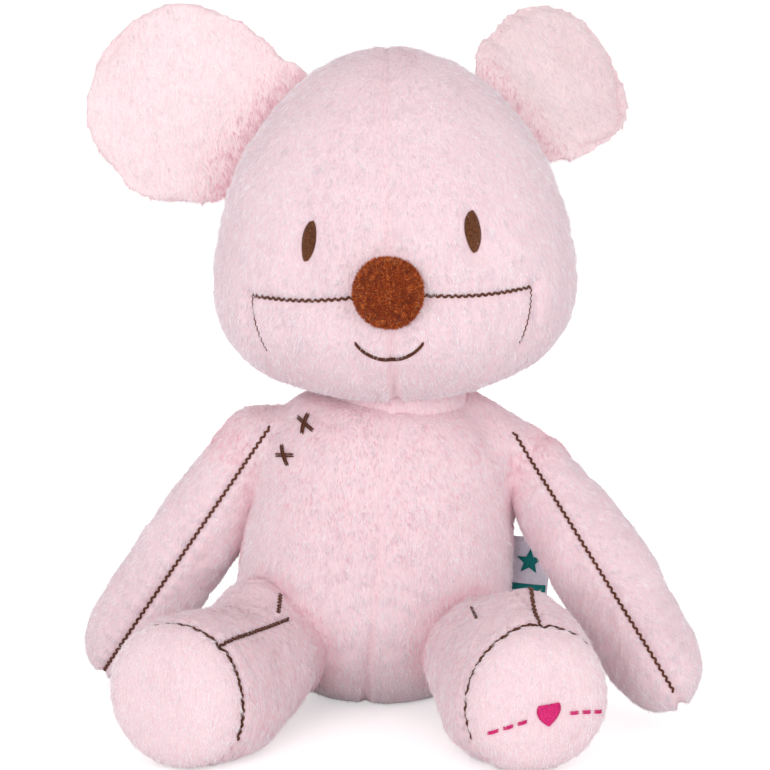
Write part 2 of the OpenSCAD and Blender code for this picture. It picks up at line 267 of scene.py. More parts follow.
def inflate(ob, pinned, cap, pressure=4.0, slack=0.02, frames=20):
    """Cloth simulation: air pressure swells the fabric while the pinned seams hold it in."""
    rest = coords(ob)
    group = ob.vertex_groups.new(name="pin")
    group.add([int(i) for i in np.nonzero(pinned)[0]], 1.0, "REPLACE")
    m = ob.modifiers.new("Cloth", "CLOTH")
    s = m.settings
    s.vertex_group_mass = "pin"
    s.quality = 4
    s.mass = 0.3
    s.use_pressure = True
    s.uniform_pressure_force = pressure
    s.tension_stiffness = s.compression_stiffness = 8
    s.shear_stiffness = 4
    s.bending_stiffness = 0.2
    s.shrink_min = -slack
    s.effector_weights.gravity = 0
    m.collision_settings.use_collision = False
    m.point_cache.frame_start, m.point_cache.frame_end = 1, frames
    for f in range(1, frames + 1):
        scene.frame_set(f)
    e = ob.evaluated_get(bpy.context.evaluated_depsgraph_get())
    v = np.empty(len(rest) * 3, np.float32)
    e.data.vertices.foreach_get("co", v)
    moved = v.reshape(-1, 3) * 1000 - rest
    length = np.linalg.norm(moved, axis=1, keepdims=True)
    moved *= np.minimum(1, cap / np.maximum(length, 1e-6))
    ob.modifiers.clear()
    ob.vertex_groups.clear()
    scene.frame_set(1)
    set_coords(ob, rest + moved)


SEAM = {}


def near_seam(ob, *distances):
    """Keeps how far each point of a skin lies from its nearest seam, in mm."""
    SEAM[ob.name] = np.minimum.reduce([np.broadcast_to(d, len(ob.data.vertices)) for d in distances])


def crease(v, n, s, along, depth=1.3, width=2.2, pucker=0.45, pitch=7.0, reach=7.0):
    """How far a seam at distance s pulls each point in, with small puckers running off it."""
    wave = np.cos(2 * math.pi * along / pitch + 2.0 * noise3(v, 19, 5)) * np.exp(-(s / reach) ** 2)
    return -depth * np.exp(-(s / width) ** 2) + pucker * wave * (1 - np.exp(-(s / 1.5) ** 2))


def tree(*obs):
    v, f = [], []
    for ob in obs:
        f += [[len(v) + i for i in p.vertices] for p in ob.data.polygons]
        v += coords(ob).tolist()
    return BVHTree.FromPolygons(v, f)


def resample(points, step):
    points = np.asarray(points, float)
    seg = np.linalg.norm(np.diff(points[:, :3], axis=0), axis=1)
    s = np.concatenate([[0], np.cumsum(seg)])
    t = np.linspace(0, s[-1], max(2, int(round(s[-1] / step)) + 1))
    return np.stack([np.interp(t, s, points[:, i]) for i in range(points.shape[1])], 1), t


def tubes(name, lines, radius, material, sides=6):
    """One mesh of closed round threads, each following one line of points."""
    bundles = []
    for line in lines:
        p = np.asarray(line, float)
        t = unit(np.gradient(p, axis=0))
        up = np.array([0.3, 0.5, 0.81])
        rings = []
        for i in range(len(p)):
            up = unit(up - t[i] * (up @ t[i]))
            w = np.cross(t[i], up)
            a = np.linspace(0, 2 * math.pi, sides, endpoint=False)
            rr = radius * (0.55 if i in (0, len(p) - 1) else 1)
            rings.append(p[i] + rr * (np.cos(a)[:, None] * up + np.sin(a)[:, None] * w))
        bundles.append(np.array(rings))
    ob = closed_mesh(name, bundles)
    ob.data.polygons.foreach_set("use_smooth", np.ones(len(ob.data.polygons), bool))
    ob.data.materials.append(material)
    return ob


THREAD_POINTS = []


def no_pile_at(points):
    """Keeps the fibres from rooting where thread lies."""
    THREAD_POINTS.extend(np.asarray(points, float).tolist())


def evened(rows, half=6):
    """Running mean of rows, the ends repeated."""
    pad = np.vstack([np.repeat(rows[:1], half, 0), rows, np.repeat(rows[-1:], half, 0)])
    k = np.ones(2 * half + 1) / (2 * half + 1)
    return np.stack([np.convolve(pad[:, i], k, "valid") for i in range(rows.shape[1])], 1)


def drop(bvh, points, inward):
    """Where rays from points, going inward, first meet a skin; rays that miss are left out."""
    out, kept = [], []
    for i, (p, d) in enumerate(zip(points, inward)):
        q = bvh.ray_cast(Vector(p), Vector(d), 200)[0]
        if q is not None:
            out.append(np.array(q))
            kept.append(i)
    return np.array(out), np.array(kept, int)


def from_front(bvh, x, z):
    """The point and its outward direction where a ray from straight ahead meets a skin."""
    p, n, _, _ = bvh.ray_cast(Vector((x, -110, z)), Vector((0, 1, 0)))
    return np.array(p), np.array(n)


def zigzag(bvh, path, inward, pitch=3.4, reach=0.62, lift=0.5):
    """Machine zigzag over a seam: the path is dropped on the fabric, then swung from side to side."""
    path = np.asarray(path, float)
    inward = unit(np.broadcast_to(inward, path.shape))
    q, kept = drop(bvh, path, inward)
    full, t = resample(np.hstack([q, inward[kept]]), pitch / 8)
    q, d = full[:, :3], unit(full[:, 3:])
    side = unit(np.cross(d, unit(np.gradient(evened(q), axis=0))))
    swing = reach * np.sin(2 * math.pi * t / pitch)
    out, _ = drop(bvh, q + side * swing[:, None] - 9 * d, d)
    no_pile_at(q)
    return evened(out, 1) - d[:len(out)] * lift


# ---------------------------------------------------------------- materials
def srgb(r, g, b):
    return tuple(((c / 255 + 0.055) / 1.055) ** 2.4 if c > 10 else c / 3294.6 for c in (r, g, b)) + (1.0,)


def base_material(name, rough=0.9, sheen=0.0, sheen_rough=0.4, tint=(1, 1, 1, 1)):
    m = bpy.data.materials.new(name)
    m.use_nodes = True
    b = m.node_tree.nodes["Principled BSDF"]
    b.inputs["Roughness"].default_value = rough
    b.inputs["Specular IOR Level"].default_value = 0.15
    b.inputs["Sheen Weight"].default_value = sheen
    b.inputs["Sheen Roughness"].default_value = sheen_rough
    b.inputs["Sheen Tint"].default_value = tint
    return m, m.node_tree, b


def plain(name, colour, **more):
    m, t, b = base_material(name, **more)
    b.inputs["Base Color"].default_value = colour
    return m


def noise_node(t, scale, detail):
    node = t.nodes.new("ShaderNodeTexNoise")
    node.inputs["Scale"].default_value, node.inputs["Detail"].default_value = scale, detail
    return node


def mixed(t, a, b, share, colours, at):
    """A colour ramp read by noise b plus a share of noise a, wired to the base colour."""
    add = t.nodes.new("ShaderNodeMath")
    add.operation = "MULTIPLY_ADD"
    add.inputs[1].default_value = share
    ramp = t.nodes.new("ShaderNodeValToRGB")
    for element, colour, position in zip(ramp.color_ramp.elements, colours, at):
        element.position, element.color = position, colour
    t.links.new(a.outputs["Fac"], add.inputs[0])
    t.links.new(b.outputs["Fac"], add.inputs[2])
    t.links.new(add.outputs[0], ramp.inputs["Fac"])
    t.links.new(ramp.outputs["Color"], t.nodes["Principled BSDF"].inputs["Base Color"])


def woven(name, dark, light, stretch, scale, bump, **more):
    """Fabric whose colour and height follow fine noise, stretched along the pile."""
    m, t, b = base_material(name, **more)
    co, mp, bp = (t.nodes.new("ShaderNode" + kind) for kind in ("TexCoord", "Mapping", "Bump"))
    mp.inputs["Scale"].default_value = stretch
    fine, broad = noise_node(t, scale, 4), noise_node(t, 28, 2)
    fine.inputs["Roughness"].default_value = 0.65
    bp.inputs["Strength"].default_value, bp.inputs["Distance"].default_value = bump, 0.001
    t.links.new(co.outputs["Object"], mp.inputs["Vector"])
    t.links.new(mp.outputs["Vector"], fine.inputs["Vector"])
    t.links.new(co.outputs["Object"], broad.inputs["Vector"])
    mixed(t, broad, fine, 0.35, (dark, light), (0.42, 0.78))
    t.links.new(fine.outputs["Fac"], bp.inputs["Height"])
    t.links.new(bp.outputs["Normal"], b.inputs["Normal"])
    return m


def dyed(name, low, high, sheen=0.4):
    """Pile yarn: its dye drifts softly over the fabric and flecks finely from tuft to tuft."""
    m, t, _ = base_material(name, sheen=sheen, tint=(1, 0.95, 0.96, 1))
    co, broad, fleck = t.nodes.new("ShaderNodeTexCoord"), noise_node(t, 30, 2), noise_node(t, 420, 1)
    t.links.new(co.outputs["Object"], broad.inputs["Vector"])
    t.links.new(co.outputs["Object"], fleck.inputs["Vector"])
    mixed(t, fleck, broad, 0.6, (low, high), (0.58, 1.0))
    return m


ALONG_PILE, EVEN, RIBBED = (1, 1, 0.25), (1, 1, 1), (6, 6, 0.8)
skin_pink = woven("plush_backing", srgb(232, 199, 208), srgb(241, 214, 221), ALONG_PILE, 700, 0.5, sheen=0.3)
skin_pale = woven("plush_backing_pale", srgb(240, 208, 214), srgb(248, 224, 228), ALONG_PILE, 700, 0.5,
                  sheen=0.3)
nose_skin = woven("nose_backing", srgb(92, 36, 14), srgb(132, 56, 26), EVEN, 900, 0.6, sheen=0.15)

pile_pink = [dyed("pile_pink_1", srgb(232, 214, 223), srgb(239, 226, 233)),
             dyed("pile_pink_2", srgb(240, 228, 234), srgb(245, 236, 241)),
             dyed("pile_pink_3", srgb(249, 242, 246), srgb(252, 247, 250))]
pile_pale = [dyed("pile_pale_1", srgb(244, 229, 235), srgb(248, 237, 241)),
             dyed("pile_pale_2", srgb(248, 238, 242), srgb(251, 243, 246)),
             dyed("pile_pale_3", srgb(251, 242, 246), srgb(253, 247, 249))]
# a rosier pink laid on fibres as painted shade in joins and seam creases
pile_painted_shade = dyed("pile_painted_shade", srgb(240, 186, 198), srgb(246, 206, 215))
pile_nose = [dyed(f"pile_rust_{i}", lo, hi, 0.1) for i, (lo, hi) in enumerate(
    [(srgb(128, 48, 16), srgb(158, 68, 28)), (srgb(172, 72, 26), srgb(196, 94, 40)),
     (srgb(208, 112, 54), srgb(222, 134, 74))])]
thread_brown = woven("thread_brown", srgb(58, 28, 18), srgb(104, 58, 38), EVEN, 1500, 0.4, rough=0.7, sheen=0.2)
# eye thread: its own dark brown, with lighter brown flecks scattered by noise as painted glints of the satin
# rows
thread_eye = woven("thread_eye", srgb(46, 22, 13), srgb(124, 74, 44), EVEN, 1100, 0.5, rough=0.4, sheen=0.1)
thread_motif = woven("thread_magenta", srgb(186, 18, 92), srgb(232, 58, 134), EVEN, 1400, 0.4, rough=0.5)
ribbon = woven("ribbon_white", srgb(206, 204, 222), srgb(240, 240, 250), RIBBED, 900, 0.5, rough=0.6)
ribbon_teal = woven("ribbon_teal", srgb(8, 92, 96), srgb(26, 140, 134), RIBBED, 900, 0.5, rough=0.6)


# ---------------------------------------------------------------- skins
def egg(r, up, up_n, down, down_n, rows):
    a = np.radians(np.linspace(-90, 90, rows))
    n = np.where(a < 0, down_n, up_n)
    h = np.where(a < 0, down, up)
    return np.stack([r * np.cos(a) ** (2 / n), np.sign(a) * h * np.abs(np.sin(a)) ** (2 / n)], 1)


def spin(profile, cols, yscale=1.0):
    a = np.linspace(0, 2 * math.pi, cols, endpoint=False)
    r = np.maximum(profile[:, :1], 0.02)
    return np.stack([r * np.cos(a), r * np.sin(a) * yscale, np.repeat(profile[:, 1:], cols, 1)], -1)


def lobe(a, b, ra, rb):
    """Rings of a rounded stub from ball a to ball b."""
    a, b = np.asarray(a, float), np.asarray(b, float)
    d = unit(b - a)
    u = unit(np.cross(d, [0, 1.0, 0]))
    w = np.cross(d, u)
    turn = np.linspace(0, 2 * math.pi, 40, endpoint=False)
    rows = []
    for at, r, span in ((a, ra, np.linspace(-88, 0, 14)), (b, rb, np.linspace(0, 88, 14))):
        for t in np.radians(span):
            rows.append(at + d * r * math.sin(t) + r * math.cos(t) * (
                np.cos(turn)[:, None] * u + np.sin(turn)[:, None] * w))
    return np.array(rows)


def relax(ob, weight, rounds):
    """Smooths a skin where the weight says: the fabric runs softly over a joined corner."""
    e = np.empty(len(ob.data.edges) * 2, np.int32)
    ob.data.edges.foreach_get("vertices", e)
    e = e.reshape(-1, 2)
    v = coords(ob)
    w = weight(v)[:, None]
    count = np.zeros(len(v))
    np.add.at(count, e.ravel(), 1)
    for _ in range(rounds):
        total = np.zeros_like(v)
        np.add.at(total, e[:, 0], v[e[:, 1]])
        np.add.at(total, e[:, 1], v[e[:, 0]])
        v += 0.6 * w * (total / np.maximum(count, 1)[:, None] - v)
    set_coords(ob, v)


def torso():
    z = np.concatenate([np.linspace(-2, 140, 60), [143, 146, 149, 151.5, 153.3, 154.4, 155]])
    up = np.maximum(0, z - 52) / 109
    down = np.maximum(0, 52 - z) / 58
    r = 69.5 * np.where(z > 52, (1 - up ** 3) ** (1 / 3), (1 - np.minimum(down, 1) ** 1.8) ** (1 / 1.8))
    r[-7:] = [51.5, 49.5, 46, 42, 36, 26, 10]
    r = np.minimum(r, 69.5) - 0.8
    where = torso_frame()
    rings = put(spin(np.stack([r, z], 1), 96, 121 / 139), where)
    ob = skin("torso_skin", rings, 3.6, skin_pink, [
        lobe([-28, 0, 129.5], SHOULDER[LEFT], 18, 21.8),
        lobe([46, 0, 139], SHOULDER[RIGHT] + [-1, 0, -2], 18, 19.5)])
    ends = SHOULDER * [0.9, 1, 1]
    relax(ob, lambda v: smooth(46, 24, np.min([np.linalg.norm(v - e, axis=1) for e in ends], 0))
          * smooth(150, 142, v[:, 2]), 14)
    v = local(coords(ob), where)
    pinned = (np.abs(v[:, 0]) < 2) | (np.abs(v[:, 1]) < 2) | (v[:, 2] < 3) | (v[:, 2] > 149)
    inflate(ob, pinned, 4.0)
    subdivide(ob)
    v, n = coords(ob), normals(ob)
    q = local(v, where)
    sides = np.abs(q[:, 1]) + 99 * ((q[:, 2] > 100) & (np.abs(q[:, 0]) > 20))
    near_seam(ob, np.abs(q[:, 0]), sides)
    d = crease(v, n, np.abs(q[:, 0]), q[:, 2], 1.4 + 0.9 * smooth(70, 30, q[:, 2]), 1.9, 0.12)
    d += crease(v, n, sides, q[:, 2], 1.6, 2.2, 0.3)
    belly = np.exp(-((q[:, 0] / 42) ** 2 + ((q[:, 2] - 38) / 34) ** 2)) * (q[:, 1] < 0)
    d += 3.0 * belly + 0.7 * noise3(v, 24, 1) + 0.3 * noise3(v, 9, 2)
    set_above_floor(ob, v + n * d[:, None])
    return ob


def muzzle_level(x):
    """Height of the seam across the face: it sags a little between the nose and each cheek."""
    return MUZZLE - 1.5 * np.sin(np.clip((np.abs(x) - 16) / 51, 0, 1) * math.pi)


def head():
    prof = egg(89, 112, 1.9, 60, 2.4, 90)
    where = head_frame()
    ob = skin("head_skin", put(spin(prof - [0.6, 0], 120, 154 / 178), where), 3.6, skin_pink)
    v = local(coords(ob), where)
    seam = (np.abs(v[:, 0]) < 1.8) | (np.abs(v[:, 1] - 4) < 1.8)
    seam |= (np.abs(v[:, 2] - MUZZLE) < 1.8) & (v[:, 1] < 0) & (np.abs(v[:, 0]) < 67)
    seam |= (v[:, 2] < -50)
    inflate(ob, seam, 2.6)
    subdivide(ob)
    v, n = coords(ob), normals(ob)
    q = local(v, where)
    front = q[:, 1] < -20
    level = np.abs(q[:, 2] - muzzle_level(q[:, 0]))
    d = crease(v, n, np.abs(q[:, 0]), q[:, 2], 1.2 + 0.9 * smooth(-5, -25, q[:, 2]), 1.8, 0.1)
    d += crease(v, n, np.abs(q[:, 1] - 4), q[:, 2], 1.4, 2.2, 0.35)
    d += np.where(front & (np.abs(q[:, 0]) < 69), crease(v, n, level, q[:, 0], 1.6, 2.0, 0.35), 0)
    dart = np.abs(np.abs(q[:, 0]) - (68.5 + 0.252 * q[:, 2] * (q[:, 2] < -28)))
    fade = smooth(-48, -20, q[:, 2]) * (q[:, 2] < 1)
    d += np.where(front, fade * crease(v, n, dart, q[:, 2], 1.5, 2.0, 0.3), 0)
    near_seam(ob, np.abs(q[:, 0]), np.abs(q[:, 1] - 4), np.where(front & (np.abs(q[:, 0]) < 67), level, 99))
    d += 2.4 * np.exp(-((q[:, 0] / 48) ** 2 + ((q[:, 2] + 26) / 22) ** 2)) * front
    for s, (ex, ez, *_) in zip((-1, 1), EYES):
        dx, dz = v[:, 0] - ex - s * 5, v[:, 2] - ez + 10
        d -= np.where(front, 3.0 * np.exp(-((dx / 8) ** 2 + (dz / 9) ** 2)), 0)
        dx, dz = v[:, 0] - ex, v[:, 2] - ez
        d -= np.where(front, 1.0 * np.exp(-((dx / 7) ** 2 + (dz / 13) ** 2)), 0)
    d += 0.7 * noise3(v, 26, 3) + 0.3 * noise3(v, 9, 4)
    set_coords(ob, v + n * d[:, None])
    return ob


def neck():
    a = np.radians(np.linspace(-35, 75, 24))
    prof = np.stack([38.2 * np.cos(a), 38.2 * np.sin(a)], 1)
    ob = skin("neck_skin", spin(prof, 64) + NECK, 3.4, skin_pink)
    subdivide(ob)
    return ob


def limb_profile(neck_r, mid, mid_z, full, full_z, length, n):
    rows = [(0.5, -9), (neck_r * 0.55, -8), (neck_r * 0.85, -3), (neck_r, 4)]
    for t in np.linspace(0, 1, 12):
        rows.append((neck_r + (mid - neck_r) * smooth(0, 1, t), 8 + (mid_z - 8) * t))
    for t in np.linspace(0, 1, 14)[1:]:
        rows.append((mid + (full - mid) * smooth(0, 1, t), mid_z + (full_z - mid_z) * t))
    for a in np.radians(np.linspace(0, 90, 18)[1:]):
        rows.append((full * math.cos(a) ** (2 / n), full_z + (length - full_z) * math.sin(a) ** (2 / n)))
    return np.array(rows)


def from_seam(turn):
    """Distance of points from the plane in which a limb's seam runs."""
    return lambda q: np.abs(q[:, 1] * math.cos(turn) - q[:, 0] * math.sin(turn))


def arm(side):
    where = arm_frame(side)
    prof = limb_profile((20.6, 18.6)[side], 22.2, 42, 22.2, 112, 146.2, 2.25)
    ob = skin(f"arm_{SIDES[side]}_skin", put(spin(prof, 56), where), 3.0, skin_pink)
    v = local(coords(ob), where)
    off_seam = from_seam(ARM_SEAM[side])
    inflate(ob, (off_seam(v) < 1.6) | (v[:, 2] < 6), 2.4)
    subdivide(ob)
    v, n = coords(ob), normals(ob)
    q = local(v, where)
    near_seam(ob, off_seam(q))
    d = crease(v, n, off_seam(q), q[:, 2], 1.9, 2.3, 0.5)
    d += 0.6 * noise3(v, 17, 6 + side) + 0.3 * noise3(v, 8, 8)
    outer = ((-1.0, 0.09), (-0.77, 0.64))[side]
    lean = np.clip((q[:, 0] * outer[0] + q[:, 1] * outer[1]) / 22, 0, 1) ** 2
    d += (1.2, 3.6)[side] * lean * np.exp(-((q[:, 2] - 75) / 42) ** 2)
    set_above_floor(ob, v + n * d[:, None])
    return ob


def leg(side):
    where = leg_frame(side)
    prof = limb_profile(26.5, 28.6, 42, 33.6, SOLE - 9, 121.4, 3.2)
    ob = skin(f"leg_{SIDES[side]}_skin", put(spin(prof, 72), where), 3.2, skin_pink)
    v = local(coords(ob), where)
    off_seam = from_seam(LEG_SEAM[side])
    seam = ((off_seam(v) < 1.6) & (v[:, 2] < SOLE)) | (np.abs(v[:, 2] - SOLE) < 1.8) | (v[:, 2] < 8)
    inflate(ob, seam, 2.4)
    subdivide(ob)
    v, n = coords(ob), normals(ob)
    q = local(v, where)
    near_seam(ob, np.where(q[:, 2] < SOLE, off_seam(q), 99), np.abs(q[:, 2] - SOLE))
    d = np.where(q[:, 2] < SOLE + 4, crease(v, n, off_seam(q), q[:, 2], 1.9, 2.3, 0.5), 0)
    swell = lambda x, y, z, wx, wy, wz: np.exp(
        -((q[:, 0] - x) / wx) ** 2 - ((q[:, 1] - y) / wy) ** 2 - ((q[:, 2] - z) / wz) ** 2)
    if side == LEFT:  # the thigh bunches up where it meets the body
        d += 10 * swell(-30, -12, 17, 20, 16, 15)
    else:  # the top of the other leg stands up behind its sole
        d += 10.5 * swell(-30, 9, 66, 24, 27, 26)
    d += 8 * swell(20, (20, -20)[side], 66, 22, 24, 40)
    around = np.degrees(np.arctan2(q[:, 1], q[:, 0])) * 0.58
    d += crease(v, n, np.abs(q[:, 2] - SOLE), around, 1.9, 2.2, 0.5)
    d += 0.7 * noise3(v, 20, 10 + side) + 0.3 * noise3(v, 8, 12)
    set_above_floor(ob, v + n * d[:, None])
    return ob


def hull(points):
    pts = sorted(map(tuple, points))
    def half(seq):
        out = []
        for p in seq:
            while len(out) > 1 and ((out[-1][0] - out[-2][0]) * (p[1] - out[-2][1])
                                    - (out[-1][1] - out[-2][1]) * (p[0] - out[-2][0])) <= 0:
                out.pop()
            out.append(p)
        return out
    return np.array(half(pts)[:-1] + half(pts[::-1])[:-1])


def ear_outline(side, cols):
    """Radius of the ear at each angle round its centre: a circle drawn out to the sewn edge."""
    c = np.array([EAR_SHIFT[side], 43.0])
    size = (51, 50)[side]
    t = np.linspace(0, 2 * math.pi, 90)
    pts = np.stack([c[0] + size * np.cos(t), c[1] + size * np.sin(t)], 1)
    half = (36, 27)[side]
    poly = hull(np.vstack([pts[pts[:, 1] > -4], [[-half, -4], [half, -4]]]))
    a = np.linspace(0, 2 * math.pi, cols, endpoint=False)
    out = []
    for x in a:
        d = np.array([math.cos(x), math.sin(x)])
        best = 0
        for i in range(len(poly)):
            p, q = poly[i] - c, poly[(i + 1) % len(poly)] - c
            e = q - p
            det = d[0] * -e[1] + d[1] * e[0]
            if abs(det) < 1e-9:
                continue
            r = (p[0] * -e[1] + p[1] * e[0]) / det
            u = (d[0] * p[1] - d[1] * p[0]) / det
            if r > 0 and -1e-6 <= u <= 1 + 1e-6:
                best = max(best, r)
        out.append(best)
    out = np.array(out)
    k = np.array([1, 2, 3, 2, 1]) / 9
    return a, c, np.convolve(np.concatenate([out[-2:], out, out[:2]]), k, "valid")


def ear_bend(side, q):
    """Curls the flat ear: both ends of the ear swing back, more at the leaning ear's lower end."""
    x = np.linspace(-90, 90, 361)
    if side == LEFT:
        phi = 12 * smooth(8, 60, x) + 3 * smooth(8, 75, -x)
    else:
        phi = 14 * smooth(15, 60, -x) - 36 * smooth(5, 50, x)
        q = q + np.outer(smooth(4, 40, q[:, 2]), [0.0, 0, 3.0])
        q[:, 0] -= q[:, 0] * np.where(q[:, 0] < 0, 0.20, 0.07) * smooth(2, 34, q[:, 2])
    phi = np.radians(phi) * np.sign(x)
    step = x[1] - x[0]
    cx = np.concatenate([[0], np.cumsum(np.cos(phi[:-1]) * step)])
    cy = np.concatenate([[0], np.cumsum(np.sin(phi[:-1]) * step)])
    cx -= np.interp(0, x, cx)
    cy -= np.interp(0, x, cy)
    grow = smooth(2, 34, q[:, 2])
    bx, by, ph = (np.interp(q[:, 0], x, f) for f in (cx, cy, phi))
    bent = np.stack([bx - q[:, 1] * np.sin(ph), by + q[:, 1] * np.cos(ph), q[:, 2]], 1)
    return q * (1 - grow[:, None]) + bent * grow[:, None]


def ear(side):
    where = ear_frame(side)
    a, c, radius = ear_outline(side, 96)
    rings = []
    for k in np.linspace(-1, 1, 41):
        rho = math.sqrt(max(0, 1 - abs(k) ** 1.6)) if abs(k) < 1 else 0.0
        rho = max(rho, 0.004)
        x = c[0] + radius * rho * np.cos(a)
        z = c[1] + radius * rho * np.sin(a)
        thick = 4.6 * np.sign(k) * abs(k) ** 0.85
        root = smooth(26, -2, z)
        y = thick * (1 - 0.15 * root) + 3.2 * (1 - rho * rho) * (1 - root)
        rings.append(np.stack([x, np.broadcast_to(y, x.shape), z], 1))
    ob = skin(f"ear_{SIDES[side]}_skin", put(np.array(rings), where), 2.6, skin_pale)
    v = local(coords(ob), where)
    edge = np.hypot(v[:, 0] - c[0], v[:, 2] - c[1])
    ang = np.arctan2(v[:, 2] - c[1], v[:, 0] - c[0]) % (2 * math.pi)
    limit = np.interp(ang, np.append(a, 2 * math.pi), np.append(radius, radius[0]))
    inflate(ob, (edge > limit - 2.2) | (v[:, 2] < 4), 1.6, pressure=2.5)
    subdivide(ob)
    v, n = coords(ob), normals(ob)
    q = local(v, where)
    off_edge, out = np.abs(q[:, 1] - 0.3), np.hypot(q[:, 0] - c[0], q[:, 2] - c[1])
    near_seam(ob, off_edge + 40 * (out < 40))
    rim = off_edge + 40 * (out < 35)
    d = 0.5 * noise3(v, 18, 14 + side) + 0.25 * noise3(v, 8, 16)
    d += -0.8 * np.exp(-(rim / 1.4) ** 2)
    # gathers running up from the sewn edge
    d += 0.55 * np.cos(q[:, 0] * 0.75 + 1.5 * noise3(q, 15, 18)) * smooth(18, 3, q[:, 2])
    q = local(v + n * d[:, None], where)
    set_coords(ob, put(ear_bend(side, q), where))
    return ob


# ---------------------------------------------------------------- pile
def sample(ob, density, rng):
    """Random root points and normals on a skin, as many for each mm2 as density says."""
    v, n = coords(ob), normals(ob)
    ob.data.calc_loop_triangles()
    tri = np.empty(len(ob.data.loop_triangles) * 3, np.int32)
    ob.data.loop_triangles.foreach_get("vertices", tri)
    tri = tri.reshape(-1, 3)
    a, b, c = v[tri[:, 0]], v[tri[:, 1]], v[tri[:, 2]]
    area = np.linalg.norm(np.cross(b - a, c - a), axis=1) / 2
    count = int(area.sum() * density)
    pick = rng.choice(len(tri), count, p=area / area.sum())
    r1, r2 = np.sqrt(rng.random(count))[:, None], rng.random(count)[:, None]
    w = [1 - r1, r1 * (1 - r2), r1 * r2]
    p = w[0] * a[pick] + w[1] * b[pick] + w[2] * c[pick]
    far = SEAM.get(ob.name, np.full(len(v), 99.0))
    far = (w[0][:, 0] * far[tri[pick, 0]] + w[1][:, 0] * far[tri[pick, 1]] + w[2][:, 0] * far[tri[pick, 2]])
    m = unit(w[0] * n[tri[pick, 0]] + w[1] * n[tri[pick, 1]] + w[2] * n[tri[pick, 2]])
    return p, m, far


def buried(points, ob, depth=0.6):
    """Which points lie inside another skin."""
    out = np.zeros(len(points), bool)
    v = coords(ob)
    inside = np.all((points > v.min(0)) & (points < v.max(0)), axis=1)
    for i in np.nonzero(inside)[0]:
        q, n, _, _ = trees[ob.name].find_nearest(Vector(points[i]))
        out[i] = (Vector(points[i]) - q).dot(n) < -depth
    return out


def pile(name, ob, move, slot, nap, tints, seed, density=1.35, length=3.9, width=0.4, lift=(5, 20), hide=(),
         jitter=11, keep=None, limit=48000, painted_shade=None):
    """Short pile: each fibre is a closed three-sided spike rooted in the skin, lying along the nap."""
    rng = np.random.default_rng(seed)
    p, n, far = sample(ob, density, rng)
    ok = np.ones(len(p), bool)
    if keep is not None:
        ok &= keep(p, n)
    ok &= ~((p[:, 2] < 2.5) & (n[:, 2] < -0.4))
    p, n, far = p[ok], n[ok], far[ok]
    for other in hide:
        ok = ~buried(p, other)
        p, n, far = p[ok], n[ok], far[ok]
    if length > 2:
        ok = np.array([thread_tree.find(Vector(q))[2] > THREAD_GAP for q in p])
        p, n, far = p[ok], n[ok], far[ok]
    g = nap(p, n)
    g = unit(g - n * np.sum(g * n, 1)[:, None])
    side = np.cross(n, g)
    turn = np.radians(jitter * rng.standard_normal(len(p)) + 16 * noise3(p, 15, seed)
                      + 8 * noise3(p, 4.5, seed + 4))
    g = g * np.cos(turn)[:, None] + side * np.sin(turn)[:, None]
    stray = rng.random(len(p)) < 0.05
    up = np.radians(rng.uniform(lift[0], lift[1], len(p)) + 4 * noise3(p, 5, seed + 1) + 24 * stray)
    d = g * np.cos(up)[:, None] + n * np.sin(up)[:, None]
    size = length * rng.uniform(0.65, 1.15, len(p)) * (1 + 0.25 * noise3(p, 2.4, seed + 2))
    size *= 0.6 + 0.4 * smooth(0.5, 3.5, far)
    w = width * rng.uniform(0.7, 1.2, len(p))
    side = unit(np.cross(d, n))
    top = unit(np.cross(side, d))
    root = p - n * 0.35
    v = np.empty((len(p), 4, 3))
    v[:, 0] = root + side * (w / 2)[:, None]
    v[:, 1] = root - side * (w / 2)[:, None]
    v[:, 2] = root + top * (w * 0.42)[:, None]
    v[:, 3] = root + d * size[:, None]
    v[:, :, 2] = np.maximum(v[:, :, 2], 0.15)
    order = rng.permutation(len(v))
    score = rng.random(len(v)) + 0.5 * noise3(p * [1, 1, 0.3], 1.5, seed + 3)
    shade = np.searchsorted(np.quantile(score, TINT_CUTS), score)
    # painted shade: fibres near other skins, and up to six in ten within about 2 mm of a seam, take the rosy
    # tint in place of the shade in joins and seam creases
    if painted_shade is not None:
        rosy = np.maximum(painted_shade(p), 0.6 * smooth(2.2, 0.6, far))
        shade = np.where(rng.random(len(v)) < rosy, len(tints), shade)
        tints = tints + [pile_painted_shade]
    parts = max(1, math.ceil(len(v) / limit))
    for k in range(parts):
        pick = order[k::parts]
        base = (np.arange(len(pick)) * 4)[:, None, None]
        f = (np.array([[0, 1, 2], [1, 0, 3], [2, 1, 3], [0, 2, 3]])[None] + base).reshape(-1, 3)
        o = make(name if parts == 1 else f"{name}_{k + 1}", v[pick].reshape(-1, 3), f)
        for m in tints:
            o.data.materials.append(m)
        o.data.polygons.foreach_set("material_index", np.repeat(shade[pick], 4).astype(np.int32))
        o.data.polygons.foreach_set("use_smooth", np.zeros(len(pick) * 4, bool))
        declare(o, move, slot)


# ---------------------------------------------------------------- build
torso_ob, head_ob, neck_ob = torso(), head(), neck()
arms = [arm(LEFT), arm(RIGHT)]
legs = [leg(LEFT), leg(RIGHT)]
ears = [ear(LEFT), ear(RIGHT)]
trees = {o.name: tree(o) for o in [torso_ob, head_ob, neck_ob] + arms + legs + ears}


def nose():
    """A stuffed ball, flattened where it is sewn to the face."""
    ball = spin(egg(16.2, 16.2, 2.0, 16.2, 2.0, 40), 48)
    ob = skin("nose_skin", ball @ rot("x", 90).T + NOSE, 1.6, nose_skin)
    v = coords(ob)
    v[:, 1] = np.minimum(v[:, 1], NOSE[1] + 7)
    v += normals(ob) * (0.35 * noise3(v, 7, 21))[:, None]
    set_coords(ob, v)
    return ob


nose_ob = nose()

